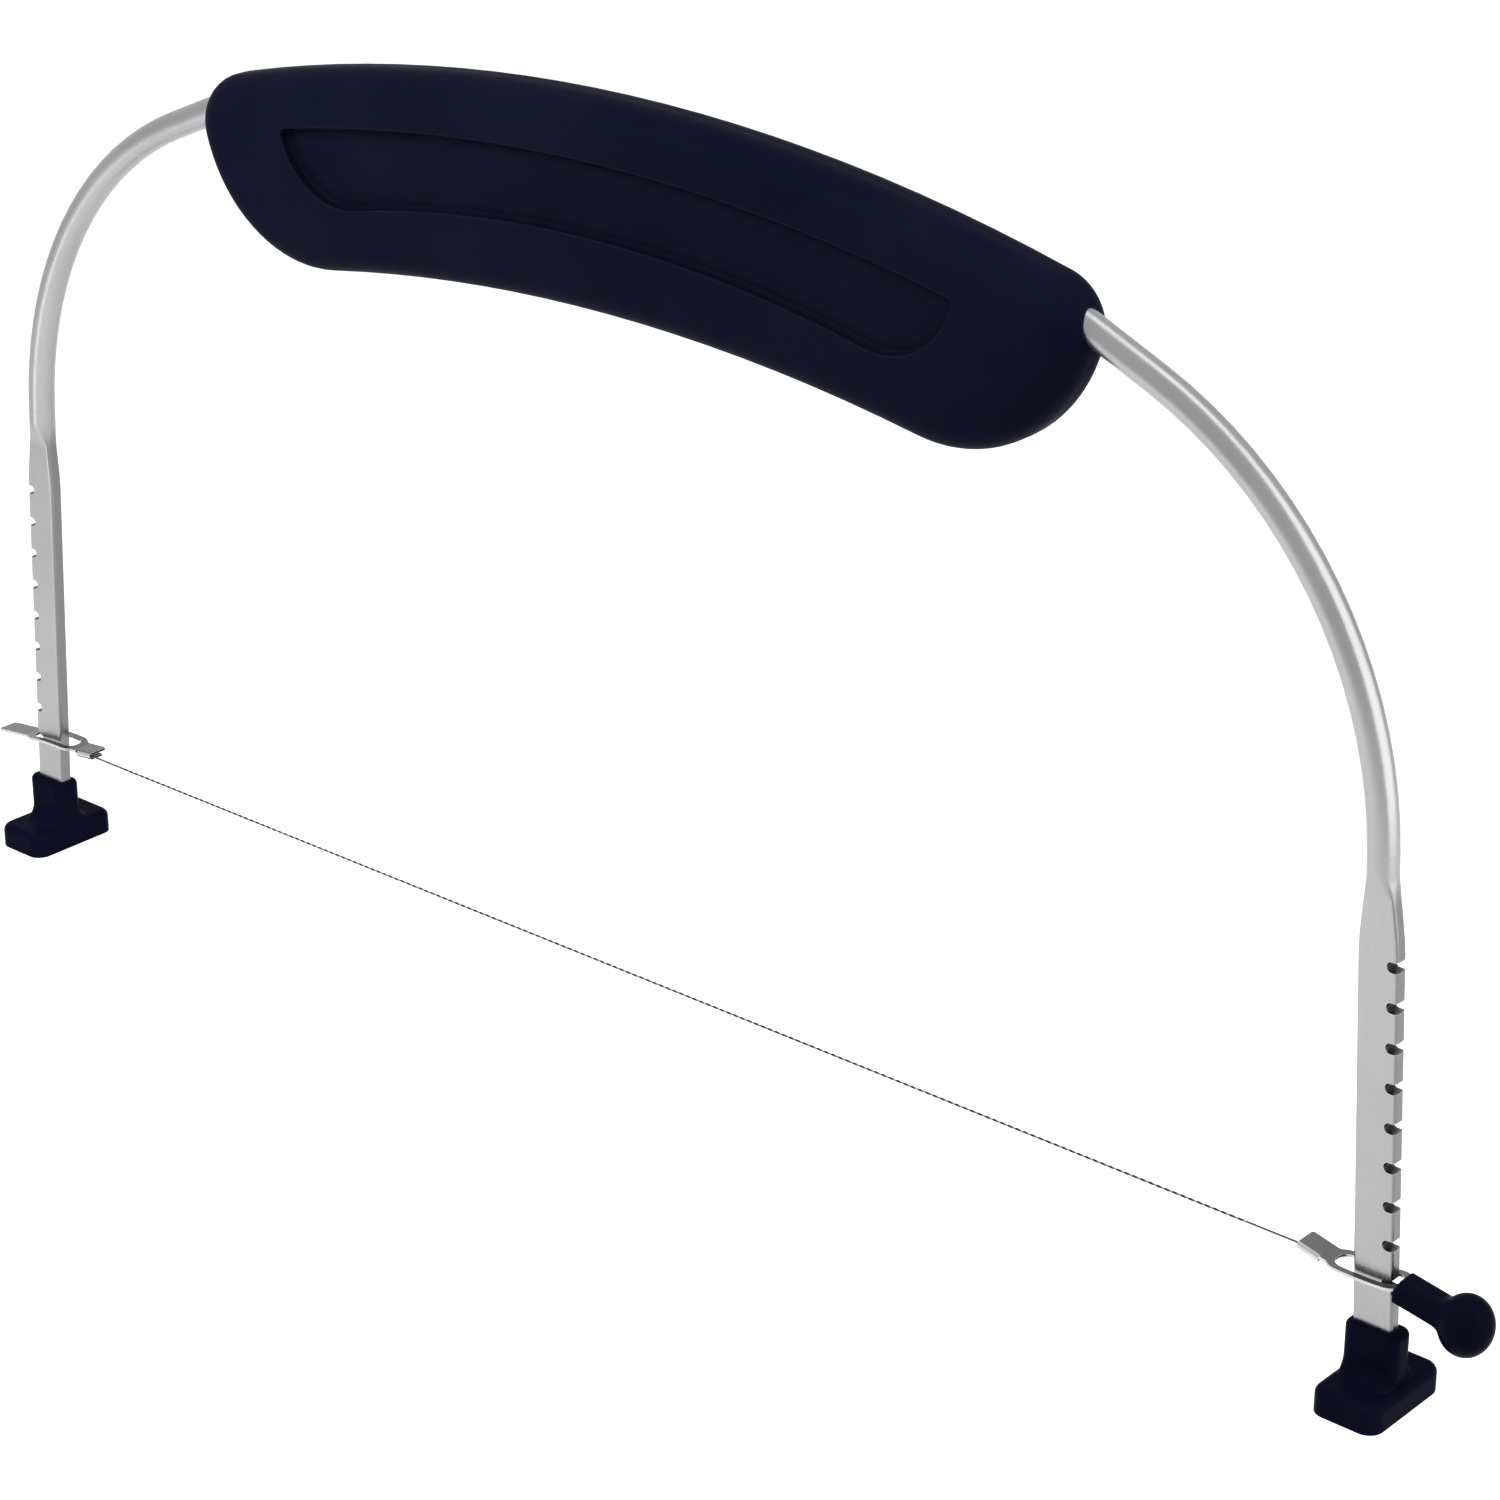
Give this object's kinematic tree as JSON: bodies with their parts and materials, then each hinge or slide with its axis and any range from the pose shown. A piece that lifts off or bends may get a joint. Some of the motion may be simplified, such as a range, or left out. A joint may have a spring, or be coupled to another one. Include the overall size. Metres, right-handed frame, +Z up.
{
  "type": "cake leveler",
  "caption": "Bow-shaped hand tool with notched flat legs, moulded handle and feet, and a taut cutting wire on two clips that slide to a set height.",
  "frame": {"origin": "on the table under the middle of the whole tool's length, in the plane of the bow", "axes": "+X along the cutting wire towards the knob, +Y from the front to the back of the bow, +Z up"},
  "size_m": [0.331, 0.0188, 0.1714],
  "materials": {
    "bow_steel": "satin plated steel rod, flattened legs",
    "clip_steel": "stamped steel with bright edges",
    "wire_steel": "twisted bright wire",
    "handle_plastic": "fine satin moulded plastic",
    "foot_plastic": "satin moulded plastic",
    "knob_plastic": "satin moulded plastic"
  },
  "bodies": {
    "frame": {"bow_frame": "bow_steel", "handle_front_shell": "handle_plastic", "handle_rear_shell": "handle_plastic", "left_foot": "foot_plastic", "right_foot": "foot_plastic"},
    "wire_carriage": {"left_clip": "clip_steel", "right_clip": "clip_steel", "cutting_wire": "wire_steel", "knob": "knob_plastic"}
  },
  "joints": [
    {"name": "wire_height", "type": "slide", "parent": "frame", "child": "wire_carriage", "axis": [0, 0, 1], "range_m": [0, 0.0508]}
  ]
}
